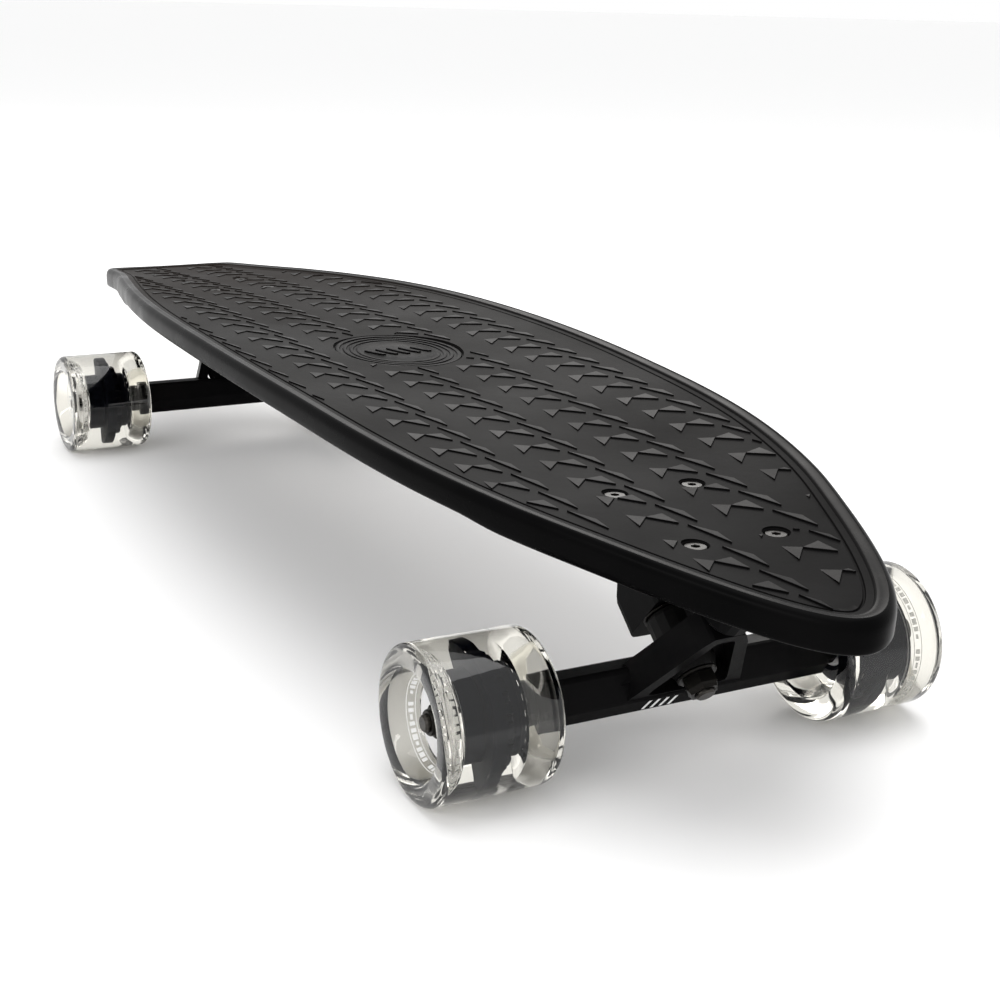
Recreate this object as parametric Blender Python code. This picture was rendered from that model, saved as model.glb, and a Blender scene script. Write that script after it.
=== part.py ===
# Longboard with a moulded plastic deck and two reverse-kingpin trucks.
# Metres, +Z up, nose towards +X. Origin: centre of the bounding box, on the ground.
import bpy
import bmesh
import math
from mathutils import Vector, Matrix

for ob in list(bpy.data.objects):
    bpy.data.objects.remove(ob, do_unlink=True)

MM = 0.001

# ---------------------------------------------------------------- dimensions (mm)
DECK_LENGTH = 914.0          # 36 inch class
NOSE_X = 457.0
TAIL_X = -457.0
AXLE_FRONT_X = 327.0
WHEELBASE = 603.3            # axle to axle
AXLE_REAR_X = AXLE_FRONT_X - WHEELBASE
AXLE_Z = 35.0                # 70 mm wheels
ARC_TOP_Z = 125.3            # top of the deck panel at mid wheelbase
ARC_RATE = 1.093e-4          # camber: drop per mm squared from mid wheelbase
ARC_MID_X = 0.5 * (AXLE_FRONT_X + AXLE_REAR_X)
CONCAVE_LIFT = 6.5           # rim stands this far above the centreline
HALF_WIDTH_REF = 114.0
PLATE_T = 7.0                # deck panel thickness
RIM_DEPTH = 11.0             # rim depth below the panel edge, mid board
RIM_DEPTH_TRUCK = 12.5       # and beside the trucks
# half-width shape factor over the length, tail (0) to nose (1); half width = factor * sin
WIDTH_STATIONS = ((0.0, 257.8), (0.0041, 257.8), (0.0066, 247.5), (0.0099, 232.8), (0.0143, 213.0), (0.0197, 192.4),
                  (0.0296, 165.2), (0.045, 140.0), (0.07, 119.4), (0.10, 109.3), (0.16, 105.7), (0.22, 107.0),
                  (0.29, 110.0), (0.36, 112.2), (0.50, 113.8), (0.64, 115.9), (0.78, 119.7), (0.85, 115.3),
                  (0.90, 107.0), (0.95, 99.3), (1.0, 93.0))
PAD_BOTTOM_Z = 101.0         # truck pads under the deck end in a level face
BOLT_OUT = 9.2               # bolt pattern centre, outward of the axle
BOLT_DX = 63.5 / 2           # bolt pattern 63.5 x 41.28
BOLT_DY = 41.28 / 2
BOLT_R = 2.4
BOLT_HOLE_R = 2.8
HEAD_R = 4.9
BASE_T = 7.0
BASE_Z0 = PAD_BOTTOM_Z - 0.3 - BASE_T
STEER_ANGLE = math.radians(49.5)   # steering axis above the horizontal
KP_A = 18.0                  # kingpin distance along the steering axis from the axle
WHEEL_R = 35.0
WHEEL_W = 56.4
WHEEL_Y = 102.6
BEARING_OUT = 12.0           # outer faces of the bearings, from the wheel's middle
AXLE_R = 3.97
SEG = 32


# ---------------------------------------------------------------- helpers
def material(name, color, rough, metal=0.0, trans=0.0):
    m = bpy.data.materials.new(name)
    m.use_nodes = True
    b = m.node_tree.nodes["Principled BSDF"]
    b.inputs["Base Color"].default_value = (*color, 1.0)
    b.inputs["Roughness"].default_value = rough
    b.inputs["Metallic"].default_value = metal
    b.inputs["Transmission Weight"].default_value = trans
    return m


def obj_from(name, verts, faces, mat=None, smooth=None):
    me = bpy.data.meshes.new(name)
    me.from_pydata([tuple(c * MM for c in v) for v in verts], [], faces)
    me.update()
    bm = bmesh.new()
    bm.from_mesh(me)
    bmesh.ops.remove_doubles(bm, verts=bm.verts, dist=1e-6)
    bmesh.ops.recalc_face_normals(bm, faces=bm.faces)
    bm.to_mesh(me)
    bm.free()
    ob = bpy.data.objects.new(name, me)
    bpy.context.scene.collection.objects.link(ob)
    if mat:
        me.materials.append(mat)
    if smooth:
        me.shade_smooth()
        me.set_sharp_from_angle(angle=math.radians(smooth))
    return ob


def frame_along(direction):
    d = Vector(direction).normalized()
    ref = Vector((0, 0, 1)) if abs(d.z) < 0.9 else Vector((1, 0, 0))
    e1 = ref.cross(d).normalized()
    e2 = d.cross(e1)
    return e1, e2, d


def hexagon(a):
    """radius factor of a hexagon at angle a, 1 at its corners."""
    return math.cos(math.pi / 6) / math.cos((a % (math.pi / 3)) - math.pi / 6)


def turned(name, profile, origin, direction, mat=None, seg=SEG, smooth=40, hexed=0.0):
    """profile: closed loop of (r, h) in mm turned about the axis; r = 0 points close on the axis.
    Radii above hexed, when it is set, follow a hexagon instead of a circle."""
    e1, e2, d = frame_along(direction)
    o = Vector(origin)
    verts, faces, rows = [], [], []
    for (r, h) in profile:
        row = []
        if r <= 1e-9:
            verts.append(o + d * h)
            row = [len(verts) - 1] * seg
        else:
            for i in range(seg):
                a = 2 * math.pi * i / seg
                q = r * hexagon(a) if hexed and r > hexed else r
                verts.append(o + d * h + e1 * (q * math.cos(a)) + e2 * (q * math.sin(a)))
                row.append(len(verts) - 1)
        rows.append(row)
    n = len(rows)
    closed_on_axis = profile[0][0] <= 1e-9 and profile[-1][0] <= 1e-9
    for k in range(n if not closed_on_axis else n - 1):
        r0, r1 = rows[k], rows[(k + 1) % n]
        for i in range(seg):
            j = (i + 1) % seg
            f = []
            for v in (r0[i], r0[j], r1[j], r1[i]):
                if v not in f:
                    f.append(v)
            if len(f) >= 3:
                faces.append(f)
    return obj_from(name, verts, faces, mat, smooth)


def prism(name, outline, axis_o, e_u, e_v, e_w, w0, w1, mat=None, smooth=None):
    """outline of (u, v) points in mm, extruded from w0 to w1."""
    o, eu, ev, ew = Vector(axis_o), Vector(e_u), Vector(e_v), Vector(e_w)
    n = len(outline)
    verts = [o + eu * u + ev * v + ew * w for w in (w0, w1) for (u, v) in outline]
    faces = [list(range(n))[::-1], list(range(n, 2 * n))]
    for i in range(n):
        j = (i + 1) % n
        faces.append([i, j, n + j, n + i])
    return obj_from(name, verts, faces, mat, smooth)


def box(name, lo, hi, mat=None):
    return prism(name, ((lo[0], lo[1]), (hi[0], lo[1]), (hi[0], hi[1]), (lo[0], hi[1])),
                 (0, 0, 0), (1, 0, 0), (0, 1, 0), (0, 0, 1), lo[2], hi[2], mat)


def hide(ob):
    ob.hide_render = True
    ob.display_type = 'WIRE'
    return ob


def boolean(ob, tool, op):
    m = ob.modifiers.new(op.lower(), 'BOOLEAN')
    m.operation = op
    m.solver = 'EXACT'
    m.object = hide(tool)


def rounded(points, radii, steps=4):
    """round the corners of a polygon of (u, v) points."""
    out = []
    n = len(points)
    for i in range(n):
        p0, p, p1 = Vector(points[i - 1]), Vector(points[i]), Vector(points[(i + 1) % n])
        r = radii[i] if isinstance(radii, (list, tuple)) else radii
        if r <= 0:
            out.append((p.x, p.y))
            continue
        a, b = (p0 - p).normalized(), (p1 - p).normalized()
        half = 0.5 * a.angle(b)
        t = min(r / math.tan(half), 0.45 * (p0 - p).length, 0.45 * (p1 - p).length)
        q0, q1 = p + a * t, p + b * t
        for s in range(steps + 1):
            f = s / steps
            q = q0 * (1 - f) ** 2 + p * 2 * f * (1 - f) + q1 * f ** 2
            out.append((q.x, q.y))
    return out


# ---------------------------------------------------------------- materials
M_DECK = material("deck_plastic", (0.022, 0.021, 0.021), 0.42)
M_BLACK = material("truck_paint", (0.012, 0.012, 0.013), 0.32, 0.1)
M_STEEL = material("zinc_steel", (0.50, 0.50, 0.50), 0.30, 1.0)
M_BLACKSTEEL = material("black_steel", (0.05, 0.048, 0.045), 0.38, 0.9)
M_TYRE = material("clear_urethane", (0.93, 0.92, 0.86), 0.05, 0.0, 1.0)
M_CORE = material("core_plastic", (0.010, 0.011, 0.014), 0.35)
M_BEARING = material("bearing_steel", (0.62, 0.62, 0.63), 0.25, 1.0)
M_BUSH = material("bushing_urethane", (0.02, 0.02, 0.02), 0.5)
M_CUP = material("pivot_cup_plastic", (0.03, 0.03, 0.03), 0.5)


# ---------------------------------------------------------------- deck
def factor(u):
    st = WIDTH_STATIONS
    for i in range(len(st) - 1):
        if u <= st[i + 1][0] or i == len(st) - 2:
            break
    (u0, f0), (u1, f1) = st[i], st[i + 1]
    d = (f1 - f0) / (u1 - u0)
    m0 = d if i == 0 else 0.5 * (d + (f0 - st[i - 1][1]) / (u0 - st[i - 1][0]))
    m1 = d if i == len(st) - 2 else 0.5 * (d + (st[i + 2][1] - f1) / (st[i + 2][0] - u1))
    h = u1 - u0
    t = min(max((u - u0) / h, 0.0), 1.0)
    return ((2 * t ** 3 - 3 * t ** 2 + 1) * f0 + (t ** 3 - 2 * t ** 2 + t) * h * m0
            + (-2 * t ** 3 + 3 * t ** 2) * f1 + (t ** 3 - t ** 2) * h * m1)


def outline(theta):
    u = 0.5 * (1 + math.cos(theta))
    return Vector((TAIL_X + DECK_LENGTH * u, factor(u) * math.sin(theta), 0))


def half_width(x):
    u = min(max((x - TAIL_X) / DECK_LENGTH, 0.0), 1.0)
    return factor(u) * 2 * math.sqrt(max(u * (1 - u), 0.0))


def arc(x):
    return ARC_TOP_Z - ARC_RATE * (x - ARC_MID_X) ** 2


def lift(x):
    return CONCAVE_LIFT * (half_width(x) / HALF_WIDTH_REF) ** 1.5


def step01(a, b, x):
    t = min(max((x - a) / (b - a), 0.0), 1.0)
    return t * t * (3 - 2 * t)


def rim_depth(x):
    s = max(step01(AXLE_FRONT_X - 42, AXLE_FRONT_X - 14, x), step01(AXLE_REAR_X + 42, AXLE_REAR_X + 14, x))
    return RIM_DEPTH + (RIM_DEPTH_TRUCK - RIM_DEPTH) * s


def medial(p):
    return Vector((min(max(p.x, TAIL_X + 75.0), NOSE_X - 60.0), 0, 0))


def build_deck():
    n = 56
    th = [2 * math.pi * (i + 0.5) / n for i in range(n)]
    P = [outline(t) for t in th]
    N = []
    for i in range(n):
        t = (P[(i + 1) % n] - P[i - 1]).normalized()
        N.append(Vector((-t.y, t.x, 0)))
    verts, faces, rings = [], [], []

    def ring(kind, value, dz):
        row = []
        for i in range(n):
            if kind == "inset":
                p = P[i] + N[i] * value
                q = P[i] + N[i] * min(value, 13.0)
                t = 1.0
            else:
                inner = P[i] + N[i] * 13.0
                m = medial(inner)
                p = m + (inner - m) * value
                t = value
            z = arc(p.x) + lift(p.x) * t * t
            z += dz(P[i].x) if callable(dz) else dz
            verts.append((p.x, p.y, z))
            row.append(len(verts) - 1)
        rings.append(row)

    ring("span", 0.02, 0.0)
    for t in (0.35, 0.7, 0.92):
        ring("span", t, 0.0)
    for (d, dz) in ((13.0, 0.0), (10.5, 0.0), (8.0, 1.8), (4.5, 2.2), (1.2, 0.6), (0.0, -2.5)):
        ring("inset", d, dz)
    ring("inset", 0.3, lambda x: -rim_depth(x) + 3.0)
    ring("inset", 2.4, lambda x: -rim_depth(x))
    ring("inset", 5.4, lambda x: -rim_depth(x) + 0.6)
    ring("inset", 7.0, -PLATE_T)
    for t in (0.92, 0.5, 0.02):
        ring("span", t, -PLATE_T)
    for k in range(len(rings) - 1):
        a, b = rings[k], rings[k + 1]
        for i in range(n):
            j = (i + 1) % n
            faces.append([a[i], a[j], b[j], b[i]])
    # close the narrow strips along the centreline, pairing the two sides
    for row in (rings[0], rings[-1]):
        for i in range(n // 2 - 1):
            faces.append([row[i], row[i + 1], row[n - 2 - i], row[n - 1 - i]])
    deck = obj_from("deck", verts, faces, M_DECK, 38)

    # truck pads, level underneath
    for ax, s in ((AXLE_FRONT_X, 1), (AXLE_REAR_X, -1)):
        cx = ax + s * 10.0
        pad = prism("pad_tool_%s" % ("f" if s > 0 else "r"),
                    rounded([(cx - 48, -31), (cx + 48, -31), (cx + 48, 31), (cx - 48, 31)], 8),
                    (0, 0, 0), (1, 0, 0), (0, 1, 0), (0, 0, 1), PAD_BOTTOM_Z, 109.5)
        boolean(deck, pad, 'UNION')
    # stiffening ribs under the panel: two lengthwise, the rest across
    for side in (-1, 1):
        y0 = side * 46.0
        xs = [TAIL_X + 150 + (DECK_LENGTH - 270) * k / 10 for k in range(11)]
        v = []
        for x in xs:
            q = abs(y0) / max(half_width(x), 50.0)
            zt = arc(x) + lift(x) * q * q - 3.5
            v += [(x, y0 - 1.3, zt), (x, y0 + 1.3, zt), (x, y0 + 1.3, zt - 10.0), (x, y0 - 1.3, zt - 10.0)]
        f = [[0, 1, 2, 3], [43, 42, 41, 40]]
        for k in range(10):
            for c in range(4):
                f.append([4 * k + c, 4 * k + (c + 1) % 4, 4 * k + 4 + (c + 1) % 4, 4 * k + 4 + c])
        boolean(deck, obj_from("rib_long_tool_%d" % side, v, f), 'UNION')
    for k in range(7):
        x = ARC_MID_X - 186 + 62.0 * k
        w = half_width(x) - 5.0
        v = []
        for j in range(7):
            y = -w + 2 * w * j / 6
            q = abs(y) / half_width(x)
            zt = arc(x) + lift(x) * q * q - 3.7
            v += [(x - 1.2, y, zt), (x + 1.2, y, zt), (x + 1.2, y, zt - 8.6), (x - 1.2, y, zt - 8.6)]
        f = [[0, 1, 2, 3], [27, 26, 25, 24]]
        for j in range(6):
            for c in range(4):
                f.append([4 * j + c, 4 * j + (c + 1) % 4, 4 * j + 4 + (c + 1) % 4, 4 * j + 4 + c])
        boolean(deck, obj_from("rib_cross_tool_%d" % k, v, f), 'UNION')
    # bolt holes with recesses for the heads
    for s, name, x, y in bolt_places():
        top = arc(x)
        cut = turned("hole_tool_" + name, ((0, 80.0), (BOLT_HOLE_R, 80.0), (BOLT_HOLE_R, top - 3.6),
                                           (HEAD_R + 0.5, top - 1.4), (HEAD_R + 0.5, top + 12.0), (0, top + 12.0)),
                     (x, y, 0), (0, 0, 1), seg=12, smooth=None)
        boolean(deck, cut, 'DIFFERENCE')
    # oval recess in the middle of the top
    bx, by = BADGE_X, 0.0
    zc = arc(bx)
    v, nn = [], 28
    for z in (zc - 1.1, zc + 10.0):
        for i in range(nn):
            a = 2 * math.pi * i / nn
            v.append((bx + BADGE_RX * math.cos(a), by + BADGE_RY * math.sin(a), z))
    f = [list(range(nn))[::-1], list(range(nn, 2 * nn))]
    for i in range(nn):
        j = (i + 1) % nn
        f.append([i, j, nn + j, nn + i])
    boolean(deck, obj_from("badge_tool", v, f), 'DIFFERENCE')
    return deck


BADGE_X = ARC_MID_X          # oval recess at mid wheelbase
BADGE_RX = 46.0
BADGE_RY = 36.5


def bolt_places():
    out = []
    for ax, s, tag in ((AXLE_FRONT_X, 1, "front"), (AXLE_REAR_X, -1, "rear")):
        cx = ax + s * BOLT_OUT
        k = 1
        for dx in (BOLT_DX, -BOLT_DX):
            for dy in (-BOLT_DY, BOLT_DY):
                out.append((s, "%s_%d" % (tag, k), cx + s * dx, dy))
                k += 1
    return out


# ---------------------------------------------------------------- trucks
def truck(tag, ax, s):
    """s = +1 for the front truck, -1 for the rear one (turned half round)."""
    e_x = Vector((s, 0, 0))
    e_y = Vector((0, s, 0))
    e_z = Vector((0, 0, 1))
    ca, sa = math.cos(STEER_ANGLE), math.sin(STEER_ANGLE)
    e_a = e_x * ca + e_z * sa            # steering axis, rising outward
    e_k = e_x * sa - e_z * ca            # kingpin, outward and down
    O = Vector((ax, 0, AXLE_Z))

    # hanger ---------------------------------------------------------------
    beam = rounded([(-9.0, 25.0), (-6.0, 24.0), (7.0, 24.0), (11.0, 31.0), (6.5, 45.5), (-5.5, 45.5), (-10.0, 33.0)],
                   [1.5, 1.5, 1.5, 1.5, 2.5, 2.5, 2.0], 2)
    hanger = prism("hanger_" + tag, [(x, z - AXLE_Z) for x, z in beam], O, e_x, e_z, e_y, -81.0, 81.0, M_BLACK)
    # rounded ends that stand inside the wheels' recesses
    for side in (-1, 1):
        stub = turned("hanger_stub_tool_%s_%d" % (tag, side), ((0, 78.0), (9.2, 78.0), (9.2, 87.6), (8.2, 89.2), (0, 89.2)),
                      O, e_y * side, seg=16, smooth=None)
        boolean(hanger, stub, 'UNION')
    tri = rounded([(-31.0, -3.0), (31.0, -3.0), (31.0, 3.0), (12.5, 46.0), (8.0, 53.0), (-8.0, 53.0), (-12.5, 46.0), (-31.0, 3.0)],
                  [2, 2, 3, 6, 3, 3, 6, 3], 2)
    loop = prism("hanger_loop_tool_" + tag, tri, O, e_y, e_a, e_k, -5.5, 10.1)
    boolean(hanger, loop, 'UNION')
    # webs that run the loop out into the beam
    web = prism("hanger_web_tool_" + tag, [(-60.0, -1.0), (60.0, -1.0), (24.0, 12.0), (-24.0, 12.0)], O, e_y, e_a, e_k, -4.5, 4.0)
    boolean(hanger, web, 'UNION')
    win = rounded([(-22.0, 6.0), (22.0, 6.0), (4.6, 48.5), (-4.6, 48.5)], [3, 3, 3, 3], 2)
    window = prism("hanger_window_tool_" + tag, win, O, e_y, e_a, e_k, -30.0, 30.0)
    boolean(hanger, window, 'DIFFERENCE')
    KP = O + e_a * KP_A
    seat = turned("hanger_seat_tool_" + tag, ((0, -5.5), (17.8, -5.5), (17.8, 1.5), (0, 1.5)), KP, e_k, seg=20, smooth=None)
    boolean(hanger, seat, 'UNION')
    bore = turned("hanger_bore_tool_" + tag, ((0, -9.0), (7.2, -9.0), (7.2, 6.0), (0, 6.0)), KP, e_k, seg=12, smooth=None)
    boolean(hanger, bore, 'DIFFERENCE')
    pin = turned("hanger_pin_tool_" + tag, ((0, 48.0), (7.0, 51.0), (6.0, 60.0), (4.5, 64.5), (2.0, 65.8), (0, 65.8)), O, e_a, seg=14, smooth=None)
    boolean(hanger, pin, 'UNION')
    axle_hole = turned("hanger_axle_tool_" + tag, ((0, -95.0), (AXLE_R + 0.3, -95.0), (AXLE_R + 0.3, 95.0), (0, 95.0)), O, e_y, seg=12, smooth=None)
    boolean(hanger, axle_hole, 'DIFFERENCE')

    # axle ----------------------------------------------------------------
    turned("axle_" + tag, ((0, -125.0), (3.2, -125.0), (AXLE_R, -124.0), (AXLE_R, 124.0), (3.2, 125.0), (0, 125.0)),
           O, e_y, M_STEEL, seg=16)

    # baseplate -------------------------------------------------------------
    cx = 10.0
    plate = rounded([(cx - 43, -27.0), (cx + 43, -27.0), (cx + 43, 27.0), (cx - 43, 27.0)], 7, 3)
    PO = Vector((ax, 0, 0))
    base = prism("baseplate_" + tag, plate, PO, e_x, e_y, e_z, BASE_Z0, BASE_Z0 + BASE_T, M_BLACK)
    # wedge that carries the kingpin
    wedge = rounded([(-23.0, -10.5), (13.0, -10.5), (13.0, 10.5), (-23.0, 10.5)], 5, 3)
    w = prism("wedge_tool_" + tag, [(a, y) for a, y in wedge], KP, e_a, e_y, e_k, -78.0, -23.6)
    boolean(base, w, 'UNION')
    trim = prism("wedge_trim_tool_" + tag, [(-160, BASE_Z0 + BASE_T), (120, BASE_Z0 + BASE_T), (120, 190), (-160, 190)],
                 PO, e_x, e_z, e_y, -60, 60)
    boolean(base, trim, 'DIFFERENCE')
    # the wedge's inner end is cut off square, in line with the plate
    trim2 = prism("wedge_end_tool_" + tag, [(-120, 20), (cx - 43, 20), (cx - 43, 140), (-120, 140)], PO, e_x, e_z, e_y, -60, 60)
    boolean(base, trim2, 'DIFFERENCE')
    boss = turned("pivot_boss_tool_" + tag, ((0, 56.0), (10.6, 56.0), (12.2, 58.0), (12.2, 76.0), (0, 76.0)), O, e_a, seg=18, smooth=None)
    boolean(base, boss, 'UNION')
    trim3 = prism("boss_trim_tool_" + tag, [(-60, BASE_Z0 + BASE_T), (120, BASE_Z0 + BASE_T), (120, 190), (-60, 190)],
                  PO, e_x, e_z, e_y, -60, 60)
    boolean(base, trim3, 'DIFFERENCE')
    socket = turned("pivot_socket_tool_" + tag, ((0, 50.0), (8.6, 50.0), (8.6, 68.6), (0, 68.6)), O, e_a, seg=14, smooth=None)
    boolean(base, socket, 'DIFFERENCE')
    kbore = turned("kingpin_bore_tool_" + tag, ((0, -56.5), (8.9, -56.5), (8.9, -47.0), (5.1, -47.0), (5.1, -15.0), (0, -15.0)),
                   KP, e_k, seg=16, smooth=None)
    boolean(base, kbore, 'DIFFERENCE')
    slot = prism("kingpin_slot_tool_" + tag, [(-8.9, -8.9), (8.9, -8.9), (8.9, 8.9), (-8.9, 8.9)], KP, e_a, e_y, e_k, -120.0, -47.0)
    boolean(base, slot, 'DIFFERENCE')
    for _, name, x, y in bolt_places():
        if name.startswith(tag):
            cut = turned("base_hole_tool_" + name, ((0, 80.0), (BOLT_HOLE_R, 80.0), (BOLT_HOLE_R, 110.0), (0, 110.0)),
                         (x, y, 0), (0, 0, 1), seg=12, smooth=None)
            boolean(base, cut, 'DIFFERENCE')

    # pivot cup -------------------------------------------------------------
    turned("pivot_cup_" + tag, ((0, 66.6), (5.6, 66.6), (6.9, 60.5), (7.3, 57.0), (8.3, 57.0), (8.3, 68.3), (0, 68.3)),
           O, e_a, M_CUP, seg=14)

    # kingpin stack -----------------------------------------------------------
    turned("kingpin_" + tag, ((0, -54.0), (7.6, -54.0), (8.2, -53.2), (8.2, -47.3), (4.75, -47.3), (4.75, 19.6), (3.9, 20.4), (0, 20.4)),
           KP, e_k, M_STEEL, seg=16)
    r0 = 5.05
    turned("upper_washer_" + tag, ((r0, -23.3), (10.5, -23.3), (12.4, -22.2), (12.4, -21.6), (r0, -21.6)), KP, e_k, M_BLACKSTEEL, seg=16)
    turned("deck_side_bushing_" + tag, ((r0, -21.3), (11.2, -21.3), (11.8, -19.5), (11.8, -8.0), (11.2, -5.8), (r0, -5.8)),
           KP, e_k, M_BUSH, seg=16)
    turned("road_side_bushing_" + tag, ((r0, 1.8), (11.6, 1.8), (11.4, 4.2), (9.4, 9.0), (r0, 9.0)), KP, e_k, M_BUSH, seg=16)
    turned("lower_washer_" + tag, ((r0, 9.3), (9.2, 9.3), (9.6, 9.9), (9.0, 10.6), (r0, 10.6)), KP, e_k, M_BLACKSTEEL, seg=16)
    turned("kingpin_nut_" + tag, ((r0, 10.9), (8.1, 10.9), (8.1, 16.2), (7.4, 17.2), (6.9, 18.6), (r0, 18.6)), KP, e_k, M_BLACKSTEEL, seg=12, smooth=30, hexed=6.0)

    # wheels -----------------------------------------------------------------
    for side, word in ((1, "left"), (-1, "right")):
        W = Vector((ax, side * WHEEL_Y, AXLE_Z))
        out = Vector((0, side, 0))
        name = "%s_%s" % (tag, word)
        h = WHEEL_W / 2
        g = 0.3
        prof = [(WHEEL_R, -h + 3.6), (WHEEL_R, h - 3.6), (WHEEL_R - 4.0, h),
                (24.0, h - 1.0), (18.6, 14.2), (13.0 + g, 13.2),
                (13.0 + g, 3.0 + g), (21.0 + g, 2.0 + g), (21.0 + g, -4.5 - g), (13.0 + g, -9.5),
                (13.0 + g, -13.2), (18.6, -14.2), (24.0, -h + 1.0), (WHEEL_R - 4.0, -h)]
        turned("tyre_" + name, prof, W, out, M_TYRE, seg=32, smooth=40)
        core = [(11.2, 13.0), (13.0, 13.0), (13.0, 3.0), (21.0, 2.0), (21.0, -4.5), (13.0, -9.2), (13.0, -13.0),
                (11.2, -13.0), (11.2, -4.8), (8.6, -4.8), (8.6, 4.8), (11.2, 4.8)]
        turned("wheel_core_" + name, core, W, out, M_CORE, seg=18, smooth=40)
        for k, (b0, b1) in enumerate(((5.1, 12.1), (-12.1, -5.1))):
            turned("bearing_%s_%s" % (name, ("outer", "inner")[k]),
                   ((4.3, b0), (10.8, b0), (10.8, b1), (4.3, b1)), W, out, M_BEARING, seg=12)
        turned("axle_nut_" + name, ((4.3, 12.9), (7.2, 12.9), (7.2, 18.0), (6.4, 20.2), (4.3, 20.2)),
               W, out, M_BLACKSTEEL, seg=12, smooth=30, hexed=5.0)


build_deck()
for tag, ax, s in (("front", AXLE_FRONT_X, 1), ("rear", AXLE_REAR_X, -1)):
    truck(tag, ax, s)
for s, name, x, y in bolt_places():
    top = arc(x)
    turned("deck_bolt_" + name, ((0, 85.4), (BOLT_R - 0.4, 85.4), (BOLT_R, 86.0), (BOLT_R, top - 3.3), (HEAD_R, top - 1.0),
                                 (HEAD_R, top - 0.3), (0, top - 0.3)), (x, y, 0), (0, 0, 1), M_BLACKSTEEL, seg=12)
    turned("lock_nut_" + name, ((BOLT_R + 0.3, BASE_Z0 - 0.3), (5.3, BASE_Z0 - 0.3), (5.3, BASE_Z0 - 5.0),
                                (4.6, BASE_Z0 - 6.6), (BOLT_R + 0.3, BASE_Z0 - 6.6)), (x, y, 0), (0, 0, 1), M_STEEL, seg=12, smooth=None, hexed=4.0)
# each piece that turns has its origin on its joint's axis
for ob in bpy.data.objects:
    if ob.type != 'MESH' or ob.hide_render:
        continue
    c = None
    for tag, ax in (("front", AXLE_FRONT_X), ("rear", AXLE_REAR_X)):
        for word, side in (("left", 1), ("right", -1)):
            if "%s_%s" % (tag, word) in ob.name and ob.name.split("_")[0] in ("tyre", "wheel", "bearing"):
                c = Vector((ax, side * WHEEL_Y, AXLE_Z)) * MM
        if ob.name in ("hanger_" + tag, "axle_" + tag) or ob.name.startswith("axle_nut_" + tag):
            c = Vector((ax, 0, AXLE_Z)) * MM
    if c is not None:
        ob.data.transform(Matrix.Translation(-c))
        ob.location = c
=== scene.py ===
import bpy
import bmesh
import math
from mathutils import Vector, Matrix


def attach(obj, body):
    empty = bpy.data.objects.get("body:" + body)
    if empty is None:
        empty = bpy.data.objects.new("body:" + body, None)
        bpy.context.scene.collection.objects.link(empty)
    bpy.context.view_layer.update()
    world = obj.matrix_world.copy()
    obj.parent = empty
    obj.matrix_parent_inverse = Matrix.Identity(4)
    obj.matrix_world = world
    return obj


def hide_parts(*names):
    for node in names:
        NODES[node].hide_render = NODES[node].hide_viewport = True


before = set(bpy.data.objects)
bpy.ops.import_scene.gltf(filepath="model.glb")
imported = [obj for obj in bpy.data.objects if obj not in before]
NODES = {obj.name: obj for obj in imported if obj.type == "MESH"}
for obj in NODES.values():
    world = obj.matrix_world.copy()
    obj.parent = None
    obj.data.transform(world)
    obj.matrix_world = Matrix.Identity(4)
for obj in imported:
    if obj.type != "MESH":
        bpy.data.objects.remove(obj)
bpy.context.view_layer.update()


scene = bpy.context.scene
scene.view_settings.view_transform = 'Standard'
MM = 0.001

# the same driving dimensions as the CAD, in mm
DECK_LENGTH = 914.0
TAIL_X = -457.0
NOSE_X = 457.0
AXLE_FRONT_X = 327.0
AXLE_REAR_X = AXLE_FRONT_X - 603.3
AXLE_Z = 35.0
ARC_TOP_Z = 125.3
ARC_RATE = 1.093e-4
ARC_MID_X = 0.5 * (AXLE_FRONT_X + AXLE_REAR_X)
CONCAVE_LIFT = 6.5
HALF_WIDTH_REF = 114.0
PLATE_T = 7.0
RIM_DEPTH = 11.0
RIM_DEPTH_TRUCK = 12.5
WIDTH_STATIONS = ((0.0, 257.8), (0.0041, 257.8), (0.0066, 247.5), (0.0099, 232.8), (0.0143, 213.0), (0.0197, 192.4),
                  (0.0296, 165.2), (0.045, 140.0), (0.07, 119.4), (0.10, 109.3), (0.16, 105.7), (0.22, 107.0),
                  (0.29, 110.0), (0.36, 112.2), (0.50, 113.8), (0.64, 115.9), (0.78, 119.7), (0.85, 115.3),
                  (0.90, 107.0), (0.95, 99.3), (1.0, 93.0))
BADGE_X, BADGE_RX, BADGE_RY = ARC_MID_X, 46.0, 36.5
PAD_BOTTOM_Z = 101.0
BOLT_OUT, BOLT_DX, BOLT_DY = 9.2, 31.75, 20.64
WHEEL_R, WHEEL_W, WHEEL_Y = 35.0, 56.4, 102.6
STEER_ANGLE = math.radians(49.5)
KP_A = 18.0


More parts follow.
